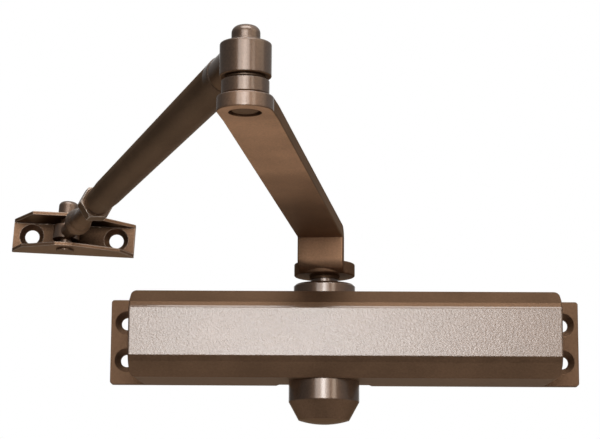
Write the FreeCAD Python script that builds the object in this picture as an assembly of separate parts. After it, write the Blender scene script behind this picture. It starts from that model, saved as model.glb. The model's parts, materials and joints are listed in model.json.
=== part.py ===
"""Overhead door closer: a rack-and-pinion hydraulic body with a two-piece arm and a frame bracket.

Frame: +Z up along the pinion, Y = 0 is the mounting face, -Y points away from the door,
+X runs along the body. The origin is the middle of the four mounting holes, on the mounting face.
All sizes are millimetres, all angles degrees.
"""
import FreeCAD, Part
import math
import os

V = FreeCAD.Vector
X_AXIS = V(1, 0, 0)
Y_AXIS = V(0, 1, 0)
Z_AXIS = V(0, 0, 1)

# Fits
running_gap = 0.05          # radial, a shaft or pin in its hole
seat_gap = 0.02             # radial, a piece pressed or screwed into its seat
side_gap = 0.4              # between two faces that slide past each other

# Body casting
hole_pitch_x = 222.0        # mounting holes, along the body
hole_pitch_z = 19.0         # mounting holes, up and down
hole_radius = 3.25
countersink_radius = 6.1
ear_margin = 8.25           # from a mounting hole to the end of its ear
ear_thickness = 5.0
ear_corner_radius = 1.5
ear_reach = 4.5             # from an end of the front face to the mounting holes beside it
body_undercut = 3.2         # each end leans back by this much towards the ears
body_depth = 48.0
body_height = 43.1
body_mid_z = -0.15
face_height = 23.7
bevel_height = 2.9          # narrow facet beside the front face
bevel_depth = 1.4
chamfer_depth = 10.0        # from the front face to the start of the top and bottom faces
end_fillet = 2.4
face_end_fillet = 0.8       # at the ends of the front face and its bevels
notch_half_width = 24.4     # relief in the lower back edge, under the pinion
notch_slope = 3.5           # each end of the relief slopes over this length
notch_height = 1.3

# Cylinder
bore_radius = 14.0
bore_y = -20.0
plug_radius = 15.5
plug_thickness = 12.0
plug_recess = 3.8           # from the front end of the body to the outer face of a plug
plug_socket_flats = 10.0
plug_socket_depth = 6.0
seal_groove_depth = 1.3
seal_width = 2.6
seal_inset = 3.0            # from the inner face of a plug to its seal

# Pinion
pinion_x = -10.25
shaft_radius = 6.8
gear_module = 1.25
gear_teeth = 12
gear_pressure_angle = 25.0
gear_height = 18.0
gear_addendum = 0.8         # in modules
gear_dedendum = 1.1         # in modules
gear_backlash = 0.3         # taken from each tooth at the pitch line
square_flats = 10.6
square_start = 27.6         # from the middle of the body down to the start of the lower square
lower_square_length = 8.0
opening_angle = 170.0       # turn of the pinion from closed to fully open

# Gland nuts, bearings and seals round the pinion
gland_radius = 13.0
gland_flange_radius = 15.5
gland_flange_height = 5.8
gland_chamfer = 1.0
gland_depth = 7.3
gland_lip = 1.6
bearing_radius = 10.0
bearing_height = 6.0
lip_seal_height = 3.2
lip_seal_gap = 0.3

# Cap over the lower end of the pinion
cap_radius = 17.7
cap_straight = 10.2
cap_cone = 9.2
cap_end_radius = 12.7
cap_wall = 1.9
cap_edge_fillet = 0.8
cap_dome = 2.0              # the closed end bulges by this much

# Piston, spring and check valve
piston_right_reach = 22.25  # from the pinion axis to the right end of the piston at rest
piston_left_gap = 10.7      # from the left plug to the left end of the piston at rest
slot_end_gap = 1.2
slot_side_gap = 0.8
piston_seal_inset = 8.0     # from the left end of the piston to its seal
piston_seal_width = 3.0
piston_seal_depth = 1.5
check_ball_radius = 2.4
check_passage_radius = 1.5
check_chamber_radius = 2.9
check_chamber_depth = 8.0
check_retainer_thickness = 1.5
spring_wire_radius = 2.0
spring_mean_radius = 10.2
spring_turns = 9.5
spring_pilot_radius = 7.6
spring_pilot_length = 4.0
spring_seat_thickness = 3.0
spring_end_gap = 0.2

# Closing-speed valves, in the left end of the body
valve_y = -9.5
valve_edge = 4.95           # from the top or the underside of the body
valve_radius = 2.5
valve_hole_depth = 24.0
valve_length = 15.0
valve_recess = 1.5
valve_tip_length = 4.0
valve_slot_width = 0.9
valve_slot_depth = 1.2
valve_seal_width = 1.8
valve_seal_depth = 0.7
valve_seal_inset = 8.0
port_radius = 0.9
gallery_radius = 1.2
gallery_end_x = 24.0

# Main arm
arm_yaw = 7.7               # to the left of straight ahead
arm_length = 235.1
arm_width = 22.8
arm_thickness = 6.4
arm_eye_radius = 15.3
arm_eye_z = 31.5
arm_rise = 17.3             # from the underside of the eye to the underside of the arm at the riser
arm_slope = 2.8             # the arm climbs from the riser to the elbow
elbow_pad = 14.0            # level length of the arm before the elbow axis
pad_bend_radius = 40.0
riser_front = 17.2          # from the pinion axis to the front of the riser
bend_inner_radius = 0.4
arm_edge_fillet = 0.7
arm_hub_radius = 7.6
arm_hub_height = 1.5
arm_screw_radius = 4.0
arm_screw_length = 14.0
arm_screw_head_flats = 13.0
arm_screw_head_height = 5.3
arm_washer_radius = 9.0
arm_washer_thickness = 1.6

# Elbow
elbow_shank_radius = 4.5
elbow_foot_radius = 4.0
elbow_foot_peen_radius = 5.8
elbow_foot_peen_height = 2.2
elbow_foot_fillet = 1.5
elbow_counterbore_radius = 6.7
elbow_counterbore_depth = 2.6
elbow_head_radius = 5.8
elbow_head_height = 6.9
elbow_head_fillet = 3.2
elbow_head_rim_radius = 6.2
elbow_head_rim_height = 1.2
elbow_spacer_radius = 9.6
elbow_spacer_height = 7.0
elbow_washer_radius = 8.2
elbow_washer_thickness = 1.0
elbow_spacer_chamfer = 0.8
knuckle_radius = 10.4
knuckle_height = 13.8
knuckle_fillet = 0.9
knuckle_lower_fillet = 0.6
bush_wall = 2.0

# Forearm tube and rod
forearm_heading = 20.86     # to the left of straight back
forearm_fall = 4.0          # the forearm falls towards the frame bracket
forearm_offset = 2.2        # the tube passes this far to the left of the elbow axis
forearm_axis_rise = -0.2    # the tube starts this far above the middle of the knuckle
forearm_length = 288.2      # from beside the elbow to the bracket pin
neck_radius = 7.9           # between the knuckle and the tube
tube_start = 17.6
tube_taper_length = 20.0
rod_reach = 65.7            # from the end of the tube to the bracket pin
tube_start_radius = 8.35
tube_taper_radius = 7.25
tube_end_radius = 6.4
tube_bore_radius = 5.9
tube_socket_depth = 20.0
tube_thread_length = 36.0
tube_rim_fillet = 1.4
tube_end_chamfer = 0.6
rod_radius = 4.9
rod_engagement = 42.0       # length of rod inside the tube
nut_flats = 15.2
nut_thickness = 7.5
nut_chamfer = 1.0
nut_turn = 28.0             # the nut rests turned this far on its thread
shoulder_start = 36.0       # from the pin back to the start of the forged shoulder
shoulder_radius = 5.7
shoulder_slope = 4.0
ball_reach = 25.0           # from the pin back to the middle of the forged ball
ball_radius = 6.8
rod_end_radius = 4.2        # between the ball and the eye
eye_radius = 7.0
eye_height = 7.5

# Frame bracket
bracket_roll = 4.43         # the rod is turned this far in its thread
bracket_length = 64.5
bracket_height = 17.8
bracket_depth = 19.9
bracket_plate = 2.8
bracket_flange = 1.8
bracket_left_slant = 12.2
bracket_right_slant = 24.4
lower_lug_end = 6.2         # the lower lug steps back over this length at each end
lower_lug_shoulder = 12.1   # depth of the lower lug at those ends
lower_lug_front = 9.0       # length of its full-depth edge, at the pin
bracket_bend_radius = 1.0
bracket_pin_x = -2.86       # from the middle of the plate
bracket_pin_y = 11.26       # in front of the back of the plate
bracket_hole_pitch = 45.0
bracket_hole_radius = 3.8
bracket_dimple_radius = 6.4
pin_radius = 3.5
pin_head_radius = 5.2
pin_head_height = 8.0
pin_head_fillet = 2.4
pin_peen_radius = 4.6
pin_peen_height = 1.1

# Worked out from the sizes above
body_top = body_mid_z + body_height / 2
body_bottom = body_mid_z - body_height / 2
valve_offset_z = body_height / 2 - valve_edge
body_length = hole_pitch_x - 2 * ear_reach
half_length = body_length / 2
ear_half_length = hole_pitch_x / 2 + ear_margin
plug_outer_x = half_length - plug_recess
plug_inner_x = plug_outer_x - plug_thickness
pitch_radius = gear_module * gear_teeth / 2
tip_radius = pitch_radius + gear_addendum * gear_module
root_radius = pitch_radius - gear_dedendum * gear_module
piston_travel = pitch_radius * math.radians(opening_angle)
piston_left = piston_left_gap - plug_inner_x
piston_right = pinion_x + piston_right_reach
piston_seal_x = piston_left + piston_seal_inset
piston_radius = bore_radius - running_gap
square_end = arm_eye_z + arm_thickness - side_gap
lower_square_end = body_mid_z - square_start - lower_square_length
arm_z = arm_eye_z + arm_rise
arm_end_z = arm_z + (arm_length - elbow_pad - riser_front) * math.tan(math.radians(arm_slope))
arm_top = arm_end_z + arm_thickness
knuckle_bottom = arm_top + elbow_spacer_height + elbow_washer_thickness
knuckle_top = knuckle_bottom + knuckle_height
tube_end = forearm_length - rod_reach
tube_taper_start = tube_end - tube_taper_length
forearm_axis_z = (knuckle_bottom + knuckle_top) / 2 + forearm_axis_rise
nut_start = tube_end + side_gap
pinion_point = V(pinion_x, bore_y, 0)
arm_heading = -90 - arm_yaw
elbow_point = V(pinion_x - arm_length * math.sin(math.radians(arm_yaw)),
                bore_y - arm_length * math.cos(math.radians(arm_yaw)), 0)

# Places of the tilted pieces
arm_place = FreeCAD.Placement(pinion_point, FreeCAD.Rotation(Z_AXIS, arm_heading))
elbow_place = FreeCAD.Placement(elbow_point, FreeCAD.Rotation(Z_AXIS, 90 + forearm_heading))
tube_place = elbow_place.multiply(
    FreeCAD.Placement(V(0, forearm_offset, forearm_axis_z), FreeCAD.Rotation(Y_AXIS, forearm_fall)))
bracket_place = tube_place.multiply(
    FreeCAD.Placement(V(forearm_length, 0, 0), FreeCAD.Rotation(X_AXIS, bracket_roll))).multiply(
    FreeCAD.Placement(V(0, 0, 0), FreeCAD.Rotation(Z_AXIS, -90 - forearm_heading)))


def box(x0, x1, y0, y1, z0, z1):
    return Part.makeBox(x1 - x0, y1 - y0, z1 - z0, V(x0, y0, z0))


def rod(radius, start, end):
    """A round bar from one point to another."""
    axis = end.sub(start)
    return Part.makeCylinder(radius, axis.Length, start, axis)


def ring(outer, inner, start, end):
    return rod(outer, start, end).cut(rod(inner, start, end))


def polygon(points, sweep):
    """A flat outline swept along a vector."""
    return Part.Face(Part.makePolygon(points + points[:1])).extrude(sweep)


def turned(outline, origin, axis):
    """A turned piece: outline is a list of (distance along the axis, radius) in order."""
    points = [V(along, radius, 0) for along, radius in outline]
    solid = Part.Face(Part.makePolygon(points + points[:1])).revolve(V(0, 0, 0), X_AXIS, 360)
    solid = Part.Solid(solid.Shells[0]) if solid.ShapeType != "Solid" else solid
    solid.Placement = FreeCAD.Placement(origin, FreeCAD.Rotation(X_AXIS, axis))
    return solid


def hexagon(flats, start, end):
    """A hexagonal bar along X, with a corner pointing up."""
    corner = flats / math.sqrt(3)
    points = [V(start, corner * math.sin(math.radians(60 * i)), corner * math.cos(math.radians(60 * i)))
              for i in range(6)]
    return polygon(points, V(end - start, 0, 0))


def on_pinion(radius, z0, z1):
    """A round bar on the pinion axis."""
    return rod(radius, pinion_point + V(0, 0, z0), pinion_point + V(0, 0, z1))


def rounded_rim(solid, radius, along, level):
    """Fillet the circular edges whose centre has this value along the named axis."""
    edges = [edge for edge in solid.Edges
             if hasattr(edge.Curve, "Radius") and edge.isClosed()
             and abs(getattr(edge.Curve.Center, along) - level) < 1e-6]
    widest = max(edge.Curve.Radius for edge in edges)
    return solid.makeFillet(radius, [edge for edge in edges if edge.Curve.Radius > widest - 1e-6])


def closer_body():
    face_top = body_mid_z + face_height / 2
    face_bottom = body_mid_z - face_height / 2
    section = [(0, body_bottom), (0, body_top), (chamfer_depth - body_depth, body_top),
               (bevel_depth - body_depth, face_top + bevel_height), (-body_depth, face_top),
               (-body_depth, face_bottom), (bevel_depth - body_depth, face_bottom - bevel_height),
               (chamfer_depth - body_depth, body_bottom)]
    shell = polygon([V(-half_length, y, z) for y, z in section], V(body_length, 0, 0))
    back_half = half_length - body_undercut
    plan = [(-half_length, -body_depth), (half_length, -body_depth), (back_half, -ear_thickness),
            (back_half, 0), (-back_half, 0), (-back_half, -ear_thickness)]
    shell = shell.common(polygon([V(x, y, body_bottom) for x, y in plan], V(0, 0, body_height)))
    end_edges = [edge for edge in shell.Edges
                 if all(abs(v.X) > back_half - 1e-6 and v.Y < 1e-6 - ear_thickness for v in edge.Vertexes)
                 and edge.CenterOfMass.y < -ear_thickness - 1e-3]
    front_edges = [edge for edge in end_edges if edge.CenterOfMass.y < bevel_depth - body_depth]
    shell = shell.makeFillet(face_end_fillet, front_edges)
    level_edges = [edge for edge in shell.Edges
                   if all(abs(v.X) > back_half - 1e-6 and v.Y < 1e-6 - ear_thickness for v in edge.Vertexes)
                   and edge.BoundBox.ZLength < 1e-6 and edge.BoundBox.YLength > chamfer_depth]
    shell = shell.makeFillet(end_fillet, level_edges)
    ears = box(-ear_half_length, ear_half_length, -ear_thickness, 0, body_bottom, body_top)
    corners = [edge for edge in ears.Edges
               if abs(edge.Vertexes[0].X - edge.Vertexes[1].X) < 1e-6
               and abs(edge.Vertexes[0].Z - edge.Vertexes[1].Z) < 1e-6]
    ears = ears.makeFillet(ear_corner_radius, corners)
    body = shell.fuse(ears).removeSplitter()

    cuts = [rod(bore_radius, V(-half_length, bore_y, body_mid_z), V(half_length, bore_y, body_mid_z))]
    for side in (-1, 1):
        cuts.append(rod(plug_radius, V(side * plug_inner_x, bore_y, body_mid_z),
                        V(side * (half_length + 1), bore_y, body_mid_z)))
        for level in (-1, 1):
            hole = V(side * hole_pitch_x / 2, 0, level * hole_pitch_z / 2)
            sink_depth = countersink_radius - hole_radius
            cuts.append(rod(hole_radius, hole + V(0, 1, 0), hole - V(0, ear_thickness + 1, 0)))
            cuts.append(Part.makeCone(countersink_radius, hole_radius, sink_depth,
                                      hole - V(0, ear_thickness, 0), Y_AXIS))
    cuts.append(on_pinion(gland_radius, body_bottom - 1, body_top + 1))
    notch = [(-notch_half_width, body_bottom - 1), (-notch_half_width, body_bottom),
             (notch_slope - notch_half_width, body_bottom + notch_height),
             (notch_half_width - notch_slope, body_bottom + notch_height),
             (notch_half_width, body_bottom), (notch_half_width, body_bottom - 1)]
    cuts.append(polygon([V(pinion_x + x, 1, z) for x, z in notch], V(0, -ear_thickness - 1, 0)))
    for level in (-1, 1):
        cuts += valve_passages(level)
    return body.cut(cuts).removeSplitter()


def valve_point(level, x):
    return V(x, valve_y, body_mid_z + level * valve_offset_z)


def valve_mouth_x():
    """Where the leaning left end face meets the middle of a valve hole."""
    lean = body_undercut * (body_depth + valve_y) / (body_depth - ear_thickness)
    return lean - half_length


def valve_passages(level):
    """The hole for one valve, its port into the cylinder and its gallery to the spring side."""
    mouth = valve_mouth_x()
    inner = mouth + valve_hole_depth
    port_x = inner - 2 * port_radius
    port_end = V(0, bore_y, body_mid_z)
    passages = [rod(valve_radius, valve_point(level, mouth - end_fillet), valve_point(level, inner)),
                rod(gallery_radius, valve_point(level, inner - 1), valve_point(level, gallery_end_x))]
    for x in (port_x, gallery_end_x - 2 * port_radius):
        start = valve_point(level, x)
        middle = V(x, (start.y + port_end.y) / 2, (start.z + port_end.z) / 2)
        passages.append(rod(port_radius, start, middle))
    return passages


def end_plug(side):
    """A screwed plug with a hexagon socket; side is -1 at the left, 1 at the right."""
    radius = plug_radius - seat_gap
    inner, outer = side * plug_inner_x, side * plug_outer_x
    centre = V(0, bore_y, body_mid_z)
    plug = rod(radius, centre + V(inner, 0, 0), centre + V(outer, 0, 0))
    socket = hexagon(plug_socket_flats, outer - side * plug_socket_depth, outer)
    socket.translate(centre)
    groove_start = inner + side * seal_inset
    groove = ring(radius + 1, radius - seal_groove_depth, centre + V(groove_start, 0, 0),
                  centre + V(groove_start + side * seal_width, 0, 0))
    return plug.cut([socket, groove])


def plug_seal(side):
    start = side * (plug_inner_x + seal_inset) + side * seat_gap
    end = start + side * (seal_width - 2 * seat_gap)
    centre = V(0, bore_y, body_mid_z)
    return ring(plug_radius - seat_gap, plug_radius - seal_groove_depth,
                centre + V(start, 0, 0), centre + V(end, 0, 0))


def gland_nut(level):
    """A screwed bush that closes the pinion hole; level is 1 at the top, -1 at the bottom."""
    seat = body_mid_z + level * body_height / 2
    at = lambda height: seat + level * height
    nut = on_pinion(gland_radius - seat_gap, at(-gland_depth), at(0))
    flange = on_pinion(gland_flange_radius, at(0), at(gland_flange_height))
    rim = [edge for edge in flange.Edges if edge.isClosed()
           and abs(edge.Curve.Center.z - at(gland_flange_height)) < 1e-6]
    nut = nut.fuse(flange.makeChamfer(gland_chamfer, rim))
    pocket = on_pinion(bearing_radius, at(-gland_depth), at(gland_flange_height - gland_lip))
    mouth = on_pinion(shaft_radius + side_gap, at(0), at(gland_flange_height + 1))
    return nut.cut([pocket, mouth]).removeSplitter()


def pinion_bearing(level):
    seat = body_mid_z + level * (body_height / 2 - gland_depth)
    start = pinion_point + V(0, 0, seat + level * lip_seal_gap)
    return ring(bearing_radius - seat_gap, shaft_radius + running_gap, start,
                start + V(0, 0, level * bearing_height))


def pinion_seal(level):
    top = body_mid_z + level * (body_height / 2 + gland_flange_height - gland_lip)
    end = pinion_point + V(0, 0, top - level * seat_gap)
    return ring(bearing_radius - seat_gap, shaft_radius + running_gap,
                end - V(0, 0, level * lip_seal_height), end)


def pinion_cap():
    outer = [(0, 0), (0, cap_radius), (cap_straight, cap_radius),
             (cap_straight + cap_cone, cap_end_radius), (cap_straight + cap_cone, 0)]
    down = V(0, 0, -1)
    base = pinion_point + V(0, 0, body_bottom)
    shell = turned(outer, base, down)
    end = base + down * (cap_straight + cap_cone)
    dome_radius = (cap_end_radius ** 2 + cap_dome ** 2) / (2 * cap_dome)
    ball = Part.makeSphere(dome_radius, end + down * (cap_dome - dome_radius))
    shell = shell.fuse(rod(cap_end_radius, end, end + down * cap_dome).common(ball)).removeSplitter()
    edges = [edge for edge in shell.Edges
             if not edge.Degenerated and edge.isClosed() and abs(edge.Curve.Center.z - base.z) > 1]
    shell = shell.makeFillet(cap_edge_fillet, edges)
    inside = [(-1, 0), (-1, cap_radius - cap_wall), (cap_straight, cap_radius - cap_wall),
              (cap_straight + cap_cone - cap_wall, cap_end_radius - cap_wall),
              (cap_straight + cap_cone - cap_wall, 0)]
    return shell.cut(turned(inside, base, down))


def tooth_outline():
    """One pinion tooth, pointing along +Y: involute flanks between the root and the tip."""
    pressure = math.radians(gear_pressure_angle)
    base = pitch_radius * math.cos(pressure)
    half_tooth = (math.pi * gear_module / 2 - gear_backlash) / (2 * pitch_radius)
    roll = math.tan(pressure) - pressure
    flank = [V(0, 0, 0)]
    steps = 5
    for i in range(steps + 1):
        radius = base + (tip_radius - base) * i / steps
        angle = math.acos(base / radius)
        turn = half_tooth + roll - (math.tan(angle) - angle)
        flank.append(V(radius * math.sin(turn), radius * math.cos(turn), 0))
    mirrored = [V(-point.x, point.y, 0) for point in reversed(flank[1:])]
    return flank + mirrored


def pinion_shaft():
    z0 = body_mid_z - gear_height / 2
    shaft = on_pinion(shaft_radius, body_mid_z - square_start, arm_eye_z - arm_hub_height)
    gear = on_pinion(root_radius, z0, z0 + gear_height)
    tooth = polygon(tooth_outline(), V(0, 0, gear_height))
    tooth.translate(pinion_point + V(0, 0, z0))
    teeth = []
    for i in range(gear_teeth):
        copy = tooth.copy()
        copy.rotate(pinion_point, Z_AXIS, 360 / gear_teeth * i)
        teeth.append(copy)
    relief = ring(shaft_radius + 1, root_radius, pinion_point + V(0, 0, z0),
                  pinion_point + V(0, 0, z0 + gear_height))
    shaft = shaft.cut(relief).fuse([gear] + teeth)
    ends = []
    for low, high in ((lower_square_end, body_mid_z - square_start),
                      (arm_eye_z - arm_hub_height, square_end)):
        ends.append(pinion_square(square_flats / 2, shaft_radius, low, high))
    thread = on_pinion(arm_screw_radius, square_end - arm_screw_length, square_end)
    return shaft.fuse(ends).cut(thread).removeSplitter()


def pinion_square(half, corner_radius, low, high):
    """A square bar on the pinion axis with turned corners, in line with the main arm."""
    square = box(-half, half, -half, half, low, high)
    square = square.common(rod(corner_radius, V(0, 0, low), V(0, 0, high)))
    square.rotate(V(0, 0, 0), Z_AXIS, arm_heading)
    square.translate(pinion_point)
    return square


def piston_rest_slot():
    """The slot's two ends, with the pinion at the right end of it at rest."""
    reach = tip_radius + slot_end_gap
    return pinion_x - piston_travel - reach, pinion_x + reach


def piston():
    centre = V(0, bore_y, body_mid_z)
    blank = rod(piston_radius, centre + V(piston_left, 0, 0), centre + V(piston_right, 0, 0))
    pilot = rod(spring_pilot_radius, centre + V(piston_right, 0, 0),
                centre + V(piston_right + spring_pilot_length, 0, 0))
    slot_left, slot_right = piston_rest_slot()
    rack_root = bore_y + pitch_radius + gear_dedendum * gear_module
    low, high = body_mid_z - bore_radius - 1, body_mid_z + bore_radius + 1
    slot = box(slot_left, slot_right, bore_y - tip_radius - slot_side_gap, rack_root, low, high)
    slot = slot.cut(rack_teeth(slot_left, slot_right, body_mid_z - gear_height / 2,
                               body_mid_z + gear_height / 2))
    groove = ring(piston_radius + 1, piston_radius - piston_seal_depth,
                  centre + V(piston_seal_x, 0, 0), centre + V(piston_seal_x + piston_seal_width, 0, 0))
    passage = rod(check_passage_radius, centre + V(piston_left, 0, 0), centre + V(slot_left + 1, 0, 0))
    chamber = rod(check_chamber_radius, centre + V(piston_left, 0, 0),
                  centre + V(piston_left + check_chamber_depth, 0, 0))
    return blank.fuse(pilot).cut([slot, groove, passage, chamber]).removeSplitter()


def rack_teeth(left, right, low, high):
    """The teeth on the back wall of the piston's slot, as bars that stand in the slot."""
    pitch = math.pi * gear_module
    lean = math.tan(math.radians(gear_pressure_angle))
    pitch_line = bore_y + pitch_radius
    tip = pitch_line - gear_addendum * gear_module
    root = pitch_line + gear_dedendum * gear_module
    half = (pitch / 2 - gear_backlash) / 2
    teeth = []
    first = math.ceil((left - pinion_x) / pitch)
    last = math.floor((right - pinion_x) / pitch)
    for i in range(first, last):
        x = pinion_x + (i + 0.5) * pitch
        outline = [(x - half + lean * (pitch_line - tip), tip), (x + half - lean * (pitch_line - tip), tip),
                   (x + half + lean * (root - pitch_line), root),
                   (x - half - lean * (root - pitch_line), root)]
        teeth.append(polygon([V(px, py, low) for px, py in outline], V(0, 0, high - low)))
    return teeth


def piston_seal():
    centre = V(0, bore_y, body_mid_z)
    return ring(piston_radius, piston_radius - piston_seal_depth,
                centre + V(piston_seal_x + seat_gap, 0, 0),
                centre + V(piston_seal_x + piston_seal_width - seat_gap, 0, 0))


def check_valve_ball():
    seat = math.sqrt(check_ball_radius ** 2 - check_passage_radius ** 2)
    x = piston_left + check_chamber_depth - seat - side_gap / 2
    return Part.makeSphere(check_ball_radius, V(x, bore_y, body_mid_z))


def check_valve_retainer():
    centre = V(piston_left, bore_y, body_mid_z)
    return ring(check_chamber_radius - seat_gap, check_passage_radius, centre,
                centre + V(check_retainer_thickness, 0, 0))


def spring_seat():
    centre = V(plug_inner_x, bore_y, body_mid_z)
    inward = V(-1, 0, 0)
    outline = [(0, 0), (0, piston_radius), (spring_seat_thickness, piston_radius),
               (spring_seat_thickness, spring_pilot_radius),
               (spring_seat_thickness + spring_pilot_length, spring_pilot_radius),
               (spring_seat_thickness + spring_pilot_length, 0)]
    return turned(outline, centre, inward)


def closing_spring():
    start = piston_right + spring_end_gap + spring_wire_radius
    end = plug_inner_x - spring_seat_thickness - spring_end_gap - spring_wire_radius
    length = end - start
    path = Part.makeHelix(length / spring_turns, length, spring_mean_radius)
    wire = Part.Wire(Part.makeCircle(spring_wire_radius, V(spring_mean_radius, 0, 0), Y_AXIS))
    coil = Part.Wire(path.Edges).makePipeShell([wire], True, True)
    coil.Placement = FreeCAD.Placement(V(start, bore_y, body_mid_z), FreeCAD.Rotation(Z_AXIS, X_AXIS))
    return coil


def valve_screw(level):
    """A slotted needle screw; level is 1 for the upper valve, -1 for the lower one."""
    mouth = valve_mouth_x() + valve_recess
    radius = valve_radius - running_gap
    groove = radius - valve_seal_depth
    seal_start = valve_seal_inset
    seal_end = valve_seal_inset + valve_seal_width
    outline = [(0, 0), (0, radius), (seal_start, radius), (seal_start, groove), (seal_end, groove),
               (seal_end, radius), (valve_length - valve_tip_length, radius), (valve_length, port_radius / 2),
               (valve_length, 0)]
    screw = turned(outline, valve_point(level, mouth), X_AXIS)
    point = valve_point(level, mouth)
    half = valve_slot_width / 2
    slot = box(point.x - 1, point.x + valve_slot_depth, point.y - valve_radius, point.y + valve_radius,
               point.z - half, point.z + half)
    return screw.cut(slot)


def valve_seal(level):
    radius = valve_radius - running_gap
    start = valve_point(level, valve_mouth_x() + valve_recess + valve_seal_inset + seat_gap)
    return ring(radius, radius - valve_seal_depth, start,
                start + V(valve_seal_width - 2 * seat_gap, 0, 0))


def rounded_outline(corners):
    """A closed flat outline in the XZ plane; each corner is (x, z, radius of its rounding)."""
    tangents = []
    for i, (x, z, radius) in enumerate(corners):
        here = V(x, 0, z)
        before = V(corners[i - 1][0], 0, corners[i - 1][1]).sub(here).normalize()
        following = corners[(i + 1) % len(corners)]
        after = V(following[0], 0, following[1]).sub(here).normalize()
        half = before.getAngle(after) / 2
        reach = radius / math.tan(half)
        inward = (before + after).normalize()
        middle = here + inward * (radius / math.sin(half) - radius)
        tangents.append((here + before * reach, middle, here + after * reach, radius))
    edges = []
    for i, (start, middle, end, radius) in enumerate(tangents):
        if radius > 0:
            edges.append(Part.Arc(start, middle, end).toShape())
        edges.append(Part.LineSegment(end, tangents[(i + 1) % len(tangents)][0]).toShape())
    return Part.Face(Part.Wire(edges))


def arm_profile():
    """The joggled strip seen from its side, in the plane of the arm."""
    front = riser_front
    back = riser_front - arm_thickness
    inner = bend_inner_radius
    outer = bend_inner_radius + arm_thickness
    eye_top = arm_eye_z + arm_thickness
    pad = arm_length - elbow_pad
    slope = math.tan(math.radians(arm_slope))
    top_pad = pad - arm_thickness * math.tan(math.radians(arm_slope / 2))
    shoulder_z = arm_top - (top_pad - back) * slope
    return rounded_outline([
        (0, arm_eye_z, 0), (front, arm_eye_z, outer), (front, arm_z, inner),
        (pad, arm_end_z, pad_bend_radius + arm_thickness), (arm_length, arm_end_z, 0),
        (arm_length, arm_top, 0), (top_pad, arm_top, pad_bend_radius), (back, shoulder_z, outer),
        (back, eye_top, inner), (0, eye_top, 0)])


def main_arm():
    half = arm_width / 2
    strip = arm_profile().extrude(V(0, arm_width, 0))
    strip.translate(V(0, -half, 0))
    eye = rod(arm_eye_radius, V(0, 0, arm_eye_z), V(0, 0, arm_eye_z + arm_thickness))
    end = rod(half, V(arm_length, 0, arm_end_z), V(arm_length, 0, arm_top))
    rim = [edge for edge in eye.Edges if edge.isClosed()]
    strip = strip.fuse(end).removeSplitter()
    side_edges = [edge for edge in strip.Edges
                  if edge.BoundBox.YLength < 1e-6 and edge.BoundBox.XMax > 1e-6
                  or edge.BoundBox.ZLength < 1e-6 and edge.BoundBox.XMax > arm_length + 1]
    strip = strip.makeFillet(arm_edge_fillet, side_edges)
    arm = strip.fuse(eye.makeFillet(arm_edge_fillet, rim)).removeSplitter()
    arm = arm.fuse(rod(arm_hub_radius, V(0, 0, arm_eye_z - arm_hub_height), V(0, 0, arm_eye_z)))
    flat = square_flats / 2 + running_gap
    hub_bottom = arm_eye_z - arm_hub_height
    square = box(-flat, flat, -flat, flat, hub_bottom - 1, arm_eye_z + arm_thickness + 1)
    arm = arm.cut([square.common(rod(shaft_radius + running_gap, V(0, 0, hub_bottom - 1),
                                     V(0, 0, arm_eye_z + arm_thickness + 1))),
                   rod(elbow_foot_radius + seat_gap, V(arm_length, 0, arm_end_z - 1),
                       V(arm_length, 0, arm_top + 1)),
                   rod(elbow_counterbore_radius, V(arm_length, 0, arm_end_z - 1),
                       V(arm_length, 0, arm_end_z + elbow_counterbore_depth))])
    arm = arm.removeSplitter()
    arm.Placement = arm_place
    return arm


def arm_washer():
    top = arm_eye_z + arm_thickness
    return ring(arm_washer_radius, arm_screw_radius + side_gap, pinion_point + V(0, 0, top),
                pinion_point + V(0, 0, top + arm_washer_thickness))


def arm_screw():
    seat = arm_eye_z + arm_thickness + arm_washer_thickness
    head = hexagon(arm_screw_head_flats, 0, arm_screw_head_height)
    dome_radius = arm_screw_head_flats / math.sqrt(3)
    dome = turned([(0, 0), (0, dome_radius + 1), (arm_screw_head_height - 1, dome_radius),
                   (arm_screw_head_height, dome_radius - 2), (arm_screw_head_height, 0)], V(0, 0, 0), X_AXIS)
    head = head.common(dome)
    head.Placement = FreeCAD.Placement(pinion_point + V(0, 0, seat), FreeCAD.Rotation(X_AXIS, Z_AXIS))
    tip = square_end - arm_screw_length + 2 * arm_screw_radius
    return head.fuse(on_pinion(arm_screw_radius - seat_gap, tip, seat)).removeSplitter()


def elbow_pin():
    """Dome-headed pin: its foot is peened into the counterbore under the main arm."""
    peen = arm_end_z + elbow_counterbore_depth
    head = knuckle_top + side_gap
    foot = peen - elbow_foot_peen_height
    outline = [(foot, 0), (foot, elbow_foot_peen_radius), (peen, elbow_foot_peen_radius),
               (peen, elbow_foot_radius), (arm_top, elbow_foot_radius), (arm_top, elbow_shank_radius),
               (head, elbow_shank_radius), (head, elbow_head_rim_radius),
               (head + elbow_head_rim_height, elbow_head_rim_radius),
               (head + elbow_head_rim_height, elbow_head_radius),
               (head + elbow_head_height, elbow_head_radius), (head + elbow_head_height, 0)]
    pin = turned(outline, elbow_point, Z_AXIS)
    pin = rounded_rim(pin, elbow_foot_fillet, "z", foot)
    return rounded_rim(pin, elbow_head_fillet, "z", head + elbow_head_height)


def elbow_spacer():
    base = elbow_point + V(0, 0, arm_top)
    spacer = rod(elbow_spacer_radius, base, base + V(0, 0, elbow_spacer_height))
    edges = [edge for edge in spacer.Edges if edge.isClosed()]
    return spacer.makeChamfer(elbow_spacer_chamfer, edges).cut(
        rod(elbow_shank_radius + running_gap, base, base + V(0, 0, elbow_spacer_height)))


def elbow_washer():
    base = elbow_point + V(0, 0, arm_top + elbow_spacer_height)
    return ring(elbow_washer_radius, elbow_shank_radius + running_gap, base,
                base + V(0, 0, elbow_washer_thickness - side_gap / 4))


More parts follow.
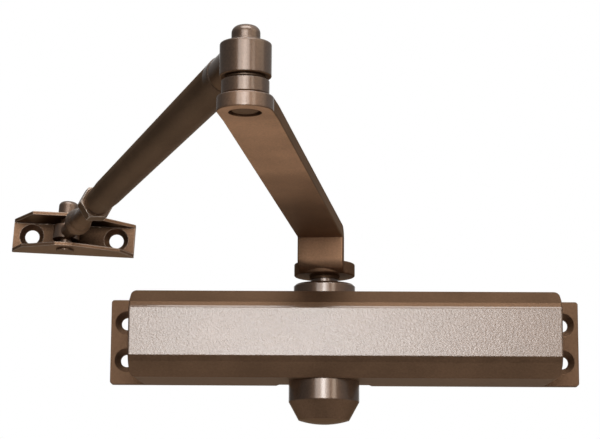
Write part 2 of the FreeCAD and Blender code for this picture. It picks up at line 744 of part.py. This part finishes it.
def forearm_knuckle():
    barrel = rod(knuckle_radius, V(0, 0, knuckle_bottom), V(0, 0, knuckle_top))
    barrel = rounded_rim(barrel, knuckle_fillet, "z", knuckle_top)
    barrel = rounded_rim(barrel, knuckle_lower_fillet, "z", knuckle_bottom)
    barrel.Placement = elbow_place
    neck = rod(neck_radius, V(0, 0, 0), V(tube_start, 0, 0))
    stub = rod(tube_bore_radius - seat_gap, V(tube_start, 0, 0), V(tube_start + tube_socket_depth, 0, 0))
    shank = neck.fuse(stub)
    shank.Placement = tube_place
    hole = rod(elbow_shank_radius + running_gap + bush_wall, elbow_point + V(0, 0, knuckle_bottom - 1),
               elbow_point + V(0, 0, knuckle_top + 1))
    trims = [rod(elbow_spacer_radius + side_gap, elbow_point + V(0, 0, knuckle_bottom - knuckle_height),
                 elbow_point + V(0, 0, knuckle_bottom)),
             rod(knuckle_radius, elbow_point + V(0, 0, knuckle_top),
                 elbow_point + V(0, 0, knuckle_top + knuckle_height))]
    return barrel.fuse(shank.cut(trims)).cut(hole).removeSplitter()


def elbow_bush():
    inner = elbow_shank_radius + running_gap
    return ring(inner + bush_wall - seat_gap, inner, elbow_point + V(0, 0, knuckle_bottom),
                elbow_point + V(0, 0, knuckle_top))


def forearm_tube():
    outline = [(tube_start, 0), (tube_start, tube_start_radius), (tube_taper_start, tube_taper_radius),
               (tube_end - tube_end_chamfer, tube_end_radius), (tube_end, tube_end_radius - tube_end_chamfer),
               (tube_end, 0)]
    tube = turned(outline, V(0, 0, 0), X_AXIS)
    tube = rounded_rim(tube, tube_rim_fillet, "x", tube_start)
    thread_start = tube_end - tube_thread_length
    tube = tube.cut([rod(tube_bore_radius, V(tube_start, 0, 0), V(thread_start, 0, 0)),
                     rod(rod_radius + running_gap, V(thread_start - 1, 0, 0), V(tube_end + 1, 0, 0))])
    tube.Placement = tube_place
    return tube


def lock_nut():
    end = nut_start + nut_thickness
    corner = nut_flats / math.sqrt(3)
    nut = hexagon(nut_flats, nut_start, end)
    cone = turned([(nut_start, 0), (nut_start, corner - nut_chamfer),
                   (nut_start + nut_chamfer, corner + nut_chamfer),
                   (end - nut_chamfer, corner + nut_chamfer), (end, corner - nut_chamfer), (end, 0)],
                  V(0, 0, 0), X_AXIS)
    nut = nut.common(cone).cut(rod(rod_radius + running_gap, V(nut_start - 1, 0, 0), V(end + 1, 0, 0)))
    nut.rotate(V(0, 0, 0), X_AXIS, nut_turn)
    nut.Placement = tube_place.multiply(nut.Placement)
    return nut


def adjusting_rod():
    start = tube_end - rod_engagement
    shoulder = forearm_length - shoulder_start
    bar = turned([(start, 0), (start, rod_radius - 1), (start + 1, rod_radius), (shoulder, rod_radius),
                  (shoulder + shoulder_slope, shoulder_radius),
                  (forearm_length - ball_reach, shoulder_radius),
                  (forearm_length - ball_reach, rod_end_radius),
                  (forearm_length - eye_radius / 2, rod_end_radius),
                  (forearm_length - eye_radius / 2, 0)], V(0, 0, 0), X_AXIS)
    bar = bar.fuse(Part.makeSphere(ball_radius, V(forearm_length - ball_reach, 0, 0)))
    bar.Placement = tube_place
    eye = rod(eye_radius, V(0, 0, -eye_height / 2), V(0, 0, eye_height / 2))
    eye.Placement = bracket_place
    hole = rod(pin_radius + running_gap, V(0, 0, -bracket_height), V(0, 0, bracket_height))
    hole.Placement = bracket_place
    return bar.fuse(eye).cut(hole).removeSplitter()


def frame_bracket():
    """A pressed channel: a plate with two holes and two tapered lugs that hold the pin."""
    middle = -bracket_pin_x
    left, right = middle - bracket_length / 2, middle + bracket_length / 2
    back = bracket_pin_y
    front = back - bracket_depth
    half = bracket_height / 2
    block = box(left, right, front, back, -half, half)
    bends = [edge for edge in block.Edges
             if all(abs(v.Y - back) < 1e-6 for v in edge.Vertexes)
             and abs(edge.Vertexes[0].Z - edge.Vertexes[1].Z) < 1e-6]
    block = block.makeFillet(bracket_bend_radius, bends)
    inner = half - bracket_flange
    channel = box(left - 1, right + 1, front - 1, back - bracket_plate, -inner, inner)
    cuts = [channel, rod(pin_radius + seat_gap, V(0, 0, -half - 1), V(0, 0, half + 1))]
    lug_front = lower_lug_front / 2
    shoulder = back - lower_lug_shoulder
    spare = [(left, back - bracket_plate), (left + lower_lug_end, shoulder), (-lug_front, front),
             (lug_front, front), (right - lower_lug_end, shoulder), (right, back - bracket_plate),
             (right + 1, back - bracket_plate), (right + 1, front - 1), (left - 1, front - 1),
             (left - 1, back - bracket_plate)]
    cuts.append(polygon([V(x, y, -half - 1) for x, y in spare], V(0, 0, half + 1)))
    for end, slant in ((left, bracket_left_slant), (right, -bracket_right_slant)):
        corner = [(end, back - bracket_plate), (end + slant, front), (end + slant, front - 1),
                  (end, front - 1)]
        cuts.append(polygon([V(x, y, 0) for x, y in corner], V(0, 0, half + 1)))
    for side in (-1, 1):
        hole = V(middle + side * bracket_hole_pitch / 2, back, 0)
        cuts.append(rod(bracket_hole_radius, hole + V(0, 1, 0), hole - V(0, bracket_plate + 1, 0)))
        sink = bracket_dimple_radius - bracket_hole_radius
        cuts.append(Part.makeCone(bracket_dimple_radius, bracket_hole_radius, sink,
                                  hole - V(0, bracket_plate, 0), Y_AXIS))
    bracket = block.cut(cuts)
    bracket.Placement = bracket_place
    return bracket


def bracket_pin():
    half = bracket_height / 2
    top = half + pin_head_height
    bottom = -half - pin_peen_height
    outline = [(bottom, 0), (bottom, pin_peen_radius), (-half, pin_peen_radius), (-half, pin_radius),
               (half, pin_radius), (half, pin_head_radius), (top, pin_head_radius), (top, 0)]
    pin = turned(outline, V(0, 0, 0), Z_AXIS)
    pin = rounded_rim(pin, pin_head_fillet, "z", top)
    pin.Placement = bracket_place
    return pin


def all_pieces():
    return {
        "closer_body": closer_body(),
        "valve_end_plug": end_plug(-1),
        "spring_end_plug": end_plug(1),
        "valve_end_plug_seal": plug_seal(-1),
        "spring_end_plug_seal": plug_seal(1),
        "upper_gland_nut": gland_nut(1),
        "lower_gland_nut": gland_nut(-1),
        "upper_pinion_bearing": pinion_bearing(1),
        "lower_pinion_bearing": pinion_bearing(-1),
        "upper_pinion_seal": pinion_seal(1),
        "lower_pinion_seal": pinion_seal(-1),
        "pinion_cap": pinion_cap(),
        "spring_seat": spring_seat(),
        "closing_spring": closing_spring(),
        "sweep_valve_screw": valve_screw(1),
        "sweep_valve_seal": valve_seal(1),
        "latch_valve_screw": valve_screw(-1),
        "latch_valve_seal": valve_seal(-1),
        "piston": piston(),
        "piston_seal": piston_seal(),
        "check_valve_ball": check_valve_ball(),
        "check_valve_retainer": check_valve_retainer(),
        "pinion_shaft": pinion_shaft(),
        "main_arm": main_arm(),
        "arm_washer": arm_washer(),
        "arm_screw": arm_screw(),
        "elbow_pin": elbow_pin(),
        "elbow_spacer": elbow_spacer(),
        "elbow_washer": elbow_washer(),
        "forearm_knuckle": forearm_knuckle(),
        "elbow_bush": elbow_bush(),
        "forearm_tube": forearm_tube(),
        "lock_nut": lock_nut(),
        "adjusting_rod": adjusting_rod(),
        "frame_bracket": frame_bracket(),
        "bracket_pin": bracket_pin(),
    }


os.makedirs("parts", exist_ok=True)
for name, shape in all_pieces().items():
    solids = shape.Solids
    print(name, shape.isValid(), len(solids), round(shape.Volume, 1))
    piece = solids[0] if len(solids) == 1 else Part.makeCompound(solids)
    piece.exportStep("parts/" + name + ".step")
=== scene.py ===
"""Looks of the overhead door closer: bronze lacquer, studio light and the photograph's camera."""
import bpy
import json
import math
from mathutils import Matrix, Vector


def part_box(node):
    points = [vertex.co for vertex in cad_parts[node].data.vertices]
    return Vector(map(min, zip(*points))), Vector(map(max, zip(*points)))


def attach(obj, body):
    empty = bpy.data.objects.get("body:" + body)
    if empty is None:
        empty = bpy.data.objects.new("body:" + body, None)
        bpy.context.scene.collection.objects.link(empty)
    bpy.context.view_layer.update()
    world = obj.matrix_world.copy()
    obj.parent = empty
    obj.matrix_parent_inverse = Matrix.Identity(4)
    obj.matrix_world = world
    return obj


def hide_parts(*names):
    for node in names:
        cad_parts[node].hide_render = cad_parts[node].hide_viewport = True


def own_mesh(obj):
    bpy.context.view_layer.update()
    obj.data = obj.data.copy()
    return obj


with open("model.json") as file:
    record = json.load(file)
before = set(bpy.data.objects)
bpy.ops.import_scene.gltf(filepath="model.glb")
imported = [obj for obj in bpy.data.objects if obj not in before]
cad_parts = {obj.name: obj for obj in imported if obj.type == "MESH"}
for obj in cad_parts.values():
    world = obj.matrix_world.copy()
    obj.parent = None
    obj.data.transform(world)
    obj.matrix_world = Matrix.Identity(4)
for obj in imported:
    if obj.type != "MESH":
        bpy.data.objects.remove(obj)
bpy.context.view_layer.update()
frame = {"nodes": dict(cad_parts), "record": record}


def front_y(name):
    """The Y of a piece's foremost point."""
    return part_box(name)[0][1]


def middle_y(name):
    """The Y of the middle of a piece."""
    low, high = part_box(name)
    return (low[1] + high[1]) / 2


# Camera, in metres and degrees, with the lens and its sensor in millimetres
camera_place = (-0.009648, -1.021739, -0.132782)
camera_pitch = 10.948
camera_heading = -0.754
camera_roll = 0.382
camera_lens = 120.34
sensor_width = 36.0
nearest_view = 0.05
farthest_view = 50.0

# Colours of the finishes, darkest and lightest
bronze = ((0.150, 0.088, 0.053), (0.210, 0.124, 0.075))
# a lighter copy of the bronze: painted light on the bracket's open faces
bronze_with_painted_light = ((0.150, 0.088, 0.053), (0.270, 0.158, 0.096))
# a darker copy of the bronze: painted shade for the parts that lie in shade
bronze_with_painted_shade = ((0.130, 0.080, 0.050), (0.180, 0.112, 0.070))
steel = ((0.40, 0.38, 0.36), (0.52, 0.50, 0.48))
brass = ((0.52, 0.36, 0.12), (0.66, 0.48, 0.19))
bush_metal = ((0.36, 0.20, 0.08), (0.48, 0.29, 0.13))
rubber = ((0.008, 0.008, 0.008), (0.016, 0.016, 0.016))
# pale edge colour: partly bare metal from wear, partly a painted highlight
bare_metal_and_highlight = (0.80, 0.68, 0.58, 1)
grazing_tint = (0.75, 0.62, 0.5, 1)

# Texture of the finishes, with scales per metre and lengths in metres
flake_detail = 4.0
flake_roughness = 0.6
cloud_scale = 38.0
cloud_detail = 3.0
cloud_roughness = 0.5
mottle_dark = 0.38          # mottling that takes the darkest colour
mottle_light = 0.62         # mottling that takes the lightest colour
mottle_low = 0.3            # mottling that is smoothest
mottle_high = 0.7           # mottling that is roughest
roughness_swing = 0.05
grain_height = 0.0002
soft_edge = 0.0005          # radius that the shading gives to sharp edges
soft_samples = 4

# Clear coat
coat_index = 1.9            # refractive index
coat_roughness = 0.2
coat_ends_facing = -0.4     # a face that looks down more than this has no coat
coat_full_facing = -0.1     # a face that looks down less than this has a full coat
coat_fade = 0.0001          # metres over which a coat ends

# Edges made pale, partly wear and partly a painted highlight, and painted shade in the corners
wear_and_highlight_radius = 0.0009        # metres from an edge
wear_and_highlight_full = 0.86            # likeness of a face to its rounded edge where it is made fully pale, partly wear and partly a painted highlight
wear_and_highlight_none = 0.99
painted_shade_reach = 0.02          # metres to the walls that make a corner
painted_shade_full = 0.2            # openness of a corner with all its painted shade
painted_shade_none = 0.7
painted_shade_samples = 8

# Where a coat starts: the front face, the rounded end of the main arm and the rim of the tube
face_skin = 0.0004
end_lead = 0.0005           # the end is rounded from just in front of the elbow pin's axis
rim_depth = 0.006
face_front_y = front_y("closer_body") + face_skin
arm_end_y = middle_y("elbow_pin") - end_lead
tube_rim_y = front_y("forearm_tube") + rim_depth

# Painted light on the main arm: its colour is made paler where light falls, with reaches in metres in front
# of the pinion's axis
pinion_y = middle_y("arm_screw")
step_reach = 0.0158         # the front of the step
step_blend = 0.0004
step_fade_start = 0.0358    # the step's painted light fades from here to the share of the rounded end
step_fade_end = 0.0458
under_start = 0.075         # painted light on the underside grows from here towards the rounded end
under_full = 0.145
step_painted_light = 1.25
end_share = 0.5             # share of the step's painted light that the rounded end has
under_painted_light = 2.1
under_share = 0.15          # share of the underside's painted light that is left at the step
facing_full = -0.9          # faces that look this way take all the painted light
facing_none = -0.6

# Surround: grey levels by the height of a direction, from straight down to straight up
surround_levels = [(0.0, 0.2), (0.4, 0.17), (0.5, 0.15), (0.65, 0.25), (1.0, 0.7)]
surround_side = 0.8         # X of a direction at which its side takes its full strength
left_strength = 0.5
right_strength = 1.2
backdrop_start = 0.85       # Y of a direction from which reflections see the white behind the object
backdrop_full = 1.0

# Floor, in metres
floor_height = -0.9
floor_size = 6.0
floor_centre_y = 2.4
far_floor_size = 60.0
far_floor_drop = 0.005
floor_dark = (0.74, 0.74, 0.74)
floor_light = (0.82, 0.82, 0.82)
floor_scale = 6.0
floor_detail = 3.0
floor_roughness = 0.8
floor_glow = 0.75           # share of its own light that the camera sees

# Light
light_target = (-0.02, -0.08, 0.0)
plain_white = (1.0, 1.0, 1.0)
warm_white = (1.0, 0.96, 0.92)
amber = (1.0, 0.85, 0.7)
deep_amber = (1.0, 0.78, 0.55)


def node(tree, kind, **inputs):
    """Add a shader node and set its sockets by name, with underscores for spaces."""
    made = tree.nodes.new(kind)
    for name, value in inputs.items():
        made.inputs[name.replace("_", " ")].default_value = value
    return made


def maths(tree, operation, first, second):
    """A maths node; each operand is a number or a socket."""
    made = tree.nodes.new("ShaderNodeMath")
    made.operation = operation
    for socket, value in zip(made.inputs, (first, second)):
        if isinstance(value, (int, float)):
            socket.default_value = value
        else:
            tree.links.new(value, socket)
    return made.outputs[0]


def ramp(tree, factor, stops):
    """A colour ramp; stops is a list of (position, colour)."""
    made = tree.nodes.new("ShaderNodeValToRGB")
    elements = made.color_ramp.elements
    while len(elements) < len(stops):
        elements.new(0.5)
    for element, (position, colour) in zip(elements, stops):
        element.position = position
        element.color = (*colour, 1)
    tree.links.new(factor, made.inputs["Fac"])
    return made.outputs["Color"]


def spread(tree, factor, low, high, start, end):
    """Map a value from the range low to high onto start to end."""
    made = node(tree, "ShaderNodeMapRange", From_Min=low, From_Max=high, To_Min=start, To_Max=end)
    tree.links.new(factor, made.inputs["Value"])
    return made.outputs["Result"]


def noise(tree, place, scale, detail, roughness):
    """Noise over the object's own coordinates."""
    made = node(tree, "ShaderNodeTexNoise", Scale=scale, Detail=detail, Roughness=roughness)
    tree.links.new(place, made.inputs["Vector"])
    return made.outputs["Fac"]


def parts_of(tree, vector):
    """The X, Y and Z sockets of a vector."""
    made = tree.nodes.new("ShaderNodeSeparateXYZ")
    tree.links.new(vector, made.inputs["Vector"])
    return made.outputs


def scaled(tree, colour, factor):
    """A colour times a factor."""
    made = tree.nodes.new("ShaderNodeVectorMath")
    made.operation = "SCALE"
    tree.links.new(colour, made.inputs[0])
    tree.links.new(factor, made.inputs["Scale"])
    return made.outputs[0]


def painted_shade_factor(tree, painted_shade):
    """Painted shade in the corners: the colour darkens towards black at a strength of 1."""
    corner = node(tree, "ShaderNodeAmbientOcclusion", Distance=painted_shade_reach)
    corner.samples = painted_shade_samples
    return spread(tree, corner.outputs["AO"], painted_shade_full, painted_shade_none, 1.0 - painted_shade, 1.0)


def rubbed_and_highlit(tree, colour, wear_and_highlight):
    """A colour that is made pale along the edges, partly rubbed wear and partly a painted highlight, fully
    at a value of 1.
    """
    edge = node(tree, "ShaderNodeBevel", Radius=wear_and_highlight_radius)
    likeness = tree.nodes.new("ShaderNodeVectorMath")
    likeness.operation = "DOT_PRODUCT"
    tree.links.new(edge.outputs["Normal"], likeness.inputs[0])
    tree.links.new(tree.nodes.new("ShaderNodeNewGeometry").outputs["Normal"], likeness.inputs[1])
    share = spread(tree, likeness.outputs["Value"], wear_and_highlight_full, wear_and_highlight_none, wear_and_highlight, 0.0)
    rub_and_highlight = node(tree, "ShaderNodeMixRGB", Color2=bare_metal_and_highlight)
    tree.links.new(share, rub_and_highlight.inputs["Fac"])
    tree.links.new(colour, rub_and_highlight.inputs["Color1"])
    return rub_and_highlight.outputs["Color"]


def coat_weight(tree, place, facing, coat, coat_before):
    """A clear coat that thins out on faces that look down and, with coat_before, lies only before that Y."""
    weight = spread(tree, facing["Z"], coat_ends_facing, coat_full_facing, 0.0, coat)
    if coat_before is None:
        return weight
    ahead = spread(tree, place["Y"], coat_before - coat_fade, coat_before + coat_fade, 1.0, 0.0)
    return maths(tree, "MULTIPLY", weight, ahead)


def lacquer(name, colours, roughness, grain, scale, coat=0.0, coat_before=None, metallic=0.9, painted_light=None,
            rough_coat=False, wear_and_highlight=0.0, painted_shade=0.0):
    """Metallic lacquer: mottled colour, uneven roughness and a fine grain.

    The grain is its strength and the scale its fineness per metre. A painted-light function gives a factor
    that makes the colour lighter where light is painted on. Painted shade darkens the corners, and the edges
    are made pale, partly wear and partly a painted highlight. A rough coat shows the grain too.
    """
    made = bpy.data.materials.new(name)
    made.use_nodes = True
    tree = made.node_tree
    tree.nodes.clear()
    link = tree.links.new
    local = tree.nodes.new("ShaderNodeTexCoord")
    place = parts_of(tree, local.outputs["Object"])
    facing = parts_of(tree, local.outputs["Normal"])
    flakes = noise(tree, local.outputs["Object"], scale, flake_detail, flake_roughness)
    clouds = noise(tree, local.outputs["Object"], cloud_scale, cloud_detail, cloud_roughness)
    mottle = maths(tree, "MULTIPLY", maths(tree, "ADD", flakes, clouds), 0.5)
    dark, light = colours
    colour = ramp(tree, mottle, [(mottle_dark, dark), (mottle_light, light)])
    # painted light: the colour is made paler where light falls
    if painted_light:
        colour = scaled(tree, colour, painted_light(tree, place, facing))
    # painted shade in the corners
    if painted_shade:
        colour = scaled(tree, colour, painted_shade_factor(tree, painted_shade))
    # edges made pale: partly wear, partly a painted highlight
    if wear_and_highlight:
        colour = rubbed_and_highlit(tree, colour, wear_and_highlight)
    shader = node(tree, "ShaderNodeBsdfPrincipled", Metallic=metallic, Specular_Tint=grazing_tint,
                  Coat_Weight=coat, Coat_Roughness=coat_roughness, Coat_IOR=coat_index)
    smoothest = roughness - roughness_swing
    roughest = roughness + roughness_swing
    link(colour, shader.inputs["Base Color"])
    link(spread(tree, mottle, mottle_low, mottle_high, smoothest, roughest), shader.inputs["Roughness"])
    if coat > 0:
        link(coat_weight(tree, place, facing, coat, coat_before), shader.inputs["Coat Weight"])
    soften = node(tree, "ShaderNodeBevel", Radius=soft_edge)
    soften.samples = soft_samples
    bump = node(tree, "ShaderNodeBump", Strength=grain, Distance=grain_height)
    link(flakes, bump.inputs["Height"])
    link(soften.outputs["Normal"], bump.inputs["Normal"])
    link(bump.outputs["Normal"], shader.inputs["Normal"])
    link((bump if rough_coat else soften).outputs["Normal"], shader.inputs["Coat Normal"])
    output = tree.nodes.new("ShaderNodeOutputMaterial")
    link(shader.outputs["BSDF"], output.inputs["Surface"])
    return made


def arm_painted_light(tree, place, facing):
    """Painted light on the main arm: its colour is made paler on the front of its step, on its rounded end
    and on its underside near there.
    """
    reach = maths(tree, "SUBTRACT", pinion_y, place["Y"])
    ahead = maths(tree, "MULTIPLY",
                  spread(tree, reach, step_reach - step_blend, step_reach + step_blend, 0.0, 1.0),
                  spread(tree, reach, step_fade_start, step_fade_end, 1.0, end_share))
    front = maths(tree, "MULTIPLY", ahead,
                  spread(tree, facing["Y"], facing_full, facing_none, step_painted_light, 0.0))
    under = maths(tree, "MULTIPLY",
                  spread(tree, reach, under_start, under_full, under_share, 1.0),
                  spread(tree, facing["Z"], facing_full, facing_none, under_painted_light, 0.0))
    return maths(tree, "ADD", maths(tree, "ADD", front, under), 1.0)


def finish_pieces():
    """Give every piece the finish of its material slot, or its own."""
    by_slot = {
        "bronze_casting": lacquer("bronze_casting", bronze, roughness=0.56, grain=0.25, scale=900, coat=1.0),
        "bronze_steel": lacquer("bronze_steel", bronze, roughness=0.56, grain=0.15, scale=1100),
        # the darker bronze here is painted shade
        "dark_steel": lacquer("dark_steel", bronze_with_painted_shade, roughness=0.5, grain=0.15, scale=1200, coat=0.3),
        "bright_steel": lacquer("bright_steel", steel, roughness=0.34, grain=0.1, scale=1500),
        "valve_brass": lacquer("valve_brass", brass, roughness=0.3, grain=0.1, scale=1500),
        "bush_bronze": lacquer("bush_bronze", bush_metal, roughness=0.4, grain=0.2, scale=1500),
        "seal_rubber": lacquer("seal_rubber", rubber, roughness=0.7, grain=0.1, scale=1500, metallic=0.0),
    }
    by_piece = {
        "closer_body": lacquer("bronze_body", bronze, roughness=0.56, grain=0.4, scale=900, coat=0.92,
                               coat_before=face_front_y, rough_coat=True),
        # the main arm has painted light on its step, its rounded end and its underside
        "main_arm": lacquer("bronze_arm", bronze, roughness=0.56, grain=0.15, scale=1100, coat=1.0,
                            coat_before=arm_end_y, painted_light=arm_painted_light),
        # the nut and the tube take the darker bronze as painted shade; the nut's edges are made pale, partly
        # wear and partly a painted highlight
        "lock_nut": lacquer("bronze_nut", bronze_with_painted_shade, roughness=0.45, grain=0.15, scale=1100, coat=0.6,
                            wear_and_highlight=1.0),
        "forearm_tube": lacquer("bronze_tube", bronze_with_painted_shade, roughness=0.54, grain=0.15, scale=1100, coat=1.0,
                                coat_before=tube_rim_y),
        # the bracket: a lighter bronze as painted light on its open faces, painted shade in its corners, and
        # edges made pale, partly wear and partly a painted highlight
        "frame_bracket": lacquer("bronze_bracket", bronze_with_painted_light, roughness=0.42, grain=0.15, scale=1100,
                                 wear_and_highlight=0.5, painted_shade=0.85),
    }
    round_gloss = lacquer("bronze_round", bronze, roughness=0.44, grain=0.15, scale=1100, coat=1.0)
    for name in ("upper_gland_nut", "elbow_spacer", "forearm_knuckle", "elbow_pin", "pinion_shaft",
                 "pinion_cap", "adjusting_rod", "bracket_pin"):
        by_piece[name] = round_gloss
    for part in frame["record"]["subparts"]:
        mesh = frame["nodes"][part["node"]].data
        mesh.materials.clear()
        mesh.materials.append(by_piece.get(part["node"]) or by_slot[part["material_slot"]])


def squeezed_spring():
    """A copy of the closing spring, with a mesh of its own, hung on the closer in place of the solid spring.
    """
    solid = frame["nodes"]["closing_spring"]
    coil = bpy.data.objects.new("spring_coil", solid.data.copy())
    bpy.context.scene.collection.objects.link(coil)
    coil.matrix_world = solid.matrix_world.copy()
    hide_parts("closing_spring")
    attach(coil, "closer")
    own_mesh(coil)


def panel(name, place, width, height, power, colour=plain_white):
    """A soft rectangular light that faces the object, in metres and watts."""
    data = bpy.data.lights.new(name, "AREA")
    data.shape = "RECTANGLE"
    data.size = width
    data.size_y = height
    data.energy = power
    data.color = colour
    lamp = bpy.data.objects.new(name, data)
    bpy.context.scene.collection.objects.link(lamp)
    lamp.location = place
    lamp.rotation_euler = (Vector(light_target) - Vector(place)).to_track_quat("-Z", "Y").to_euler()


def studio_light():
    """Broad light from the front and above, a brighter patch in front and amber light from the right."""
    panel("front_panel", place=(-0.25, -2.3, 0.46), width=1.9, height=0.9, power=13, colour=warm_white)
    panel("front_spot", place=(-0.08, -2.2, 0.26), width=0.5, height=0.45, power=4.8)
    panel("right_panel", place=(1.25, -2.0, 0.3), width=0.5, height=0.7, power=3, colour=amber)
    panel("side_panel", place=(2.0, -1.0, 1.1), width=1.6, height=0.8, power=4, colour=deep_amber)
    panel("top_panel", place=(0.0, -0.9, 1.6), width=1.6, height=1.0, power=16.5)


def white_surround():
    """White behind the object, for the camera and for reflections, in a dim room that is brighter above."""
    world = bpy.data.worlds.new("surround")
    bpy.context.scene.world = world
    world.use_nodes = True
    tree = world.node_tree
    tree.nodes.clear()
    link = tree.links.new
    direction = parts_of(tree, tree.nodes.new("ShaderNodeTexCoord").outputs["Generated"])
    height = spread(tree, direction["Z"], -1.0, 1.0, 0.0, 1.0)
    shades = ramp(tree, height, [(position, (level, level, level)) for position, level in surround_levels])
    room = tree.nodes.new("ShaderNodeBackground")
    link(shades, room.inputs["Color"])
    link(spread(tree, direction["X"], -surround_side, surround_side, left_strength, right_strength),
         room.inputs["Strength"])
    white = node(tree, "ShaderNodeBackground", Color=(*plain_white, 1), Strength=1.0)
    path = tree.nodes.new("ShaderNodeLightPath").outputs
    mirrored = maths(tree, "MAXIMUM", path["Is Glossy Ray"], path["Is Transmission Ray"])
    behind = maths(tree, "MULTIPLY", mirrored,
                   spread(tree, direction["Y"], backdrop_start, backdrop_full, 0.0, 1.0))
    mix = tree.nodes.new("ShaderNodeMixShader")
    link(maths(tree, "MAXIMUM", path["Is Camera Ray"], behind), mix.inputs[0])
    link(room.outputs["Background"], mix.inputs[1])
    link(white.outputs["Background"], mix.inputs[2])
    output = tree.nodes.new("ShaderNodeOutputWorld")
    link(mix.outputs["Shader"], output.inputs["Surface"])


def pale_floor():
    """A plain pale finish, lit up a little for the camera."""
    made = bpy.data.materials.new("pale_floor")
    made.use_nodes = True
    tree = made.node_tree
    link = tree.links.new
    shader = tree.nodes["Principled BSDF"]
    shader.inputs["Roughness"].default_value = floor_roughness
    mottle = node(tree, "ShaderNodeTexNoise", Scale=floor_scale, Detail=floor_detail)
    shades = ramp(tree, mottle.outputs["Fac"], [(0.0, floor_dark), (1.0, floor_light)])
    link(shades, shader.inputs["Base Color"])
    glow = node(tree, "ShaderNodeEmission", Strength=1.0)
    link(shades, glow.inputs["Color"])
    path = tree.nodes.new("ShaderNodeLightPath")
    mix = tree.nodes.new("ShaderNodeMixShader")
    link(maths(tree, "MULTIPLY", path.outputs["Is Camera Ray"], floor_glow), mix.inputs[0])
    link(shader.outputs["BSDF"], mix.inputs[1])
    link(glow.outputs["Emission"], mix.inputs[2])
    link(mix.outputs["Shader"], tree.nodes["Material Output"].inputs["Surface"])
    return made


def floor_sheet(name, size, place, surface, mirrored):
    """A square of floor; one that isn't mirrored is seen by the camera alone."""
    bpy.ops.mesh.primitive_plane_add(size=size, location=place)
    sheet = bpy.context.active_object
    sheet.name = name
    sheet.data.materials.append(surface)
    sheet.visible_diffuse = mirrored
    sheet.visible_glossy = mirrored


def studio_floor():
    """A floor far below the object, which reaches the horizon for the camera."""
    surface = pale_floor()
    floor_sheet("floor", floor_size, (0, floor_centre_y, floor_height), surface, mirrored=True)
    floor_sheet("far_floor", far_floor_size, (0, 0, floor_height - far_floor_drop), surface, mirrored=False)


def photograph_camera():
    """The camera of the photograph, from its place, its three angles and its lens."""
    pitch = math.radians(camera_pitch)
    heading = math.radians(camera_heading)
    roll = math.radians(camera_roll)
    level_ahead = Vector((math.sin(heading), math.cos(heading), 0))
    ahead = level_ahead * math.cos(pitch) + Vector((0, 0, math.sin(pitch)))
    level_right = Vector((math.cos(heading), -math.sin(heading), 0))
    right = level_right * math.cos(roll) + level_right.cross(ahead) * math.sin(roll)
    up = right.cross(ahead)
    data = bpy.data.cameras.new("camera")
    data.sensor_fit = "HORIZONTAL"
    data.sensor_width = sensor_width
    data.lens = camera_lens
    data.clip_start = nearest_view
    data.clip_end = farthest_view
    made = bpy.data.objects.new("camera", data)
    bpy.context.scene.collection.objects.link(made)
    made.matrix_world = Matrix((
        (right.x, up.x, -ahead.x, camera_place[0]),
        (right.y, up.y, -ahead.y, camera_place[1]),
        (right.z, up.z, -ahead.z, camera_place[2]),
        (0, 0, 0, 1)))
    bpy.context.scene.camera = made


finish_pieces()
squeezed_spring()
studio_light()
white_surround()
studio_floor()
photograph_camera()
bpy.context.scene.view_settings.view_transform = "Standard"
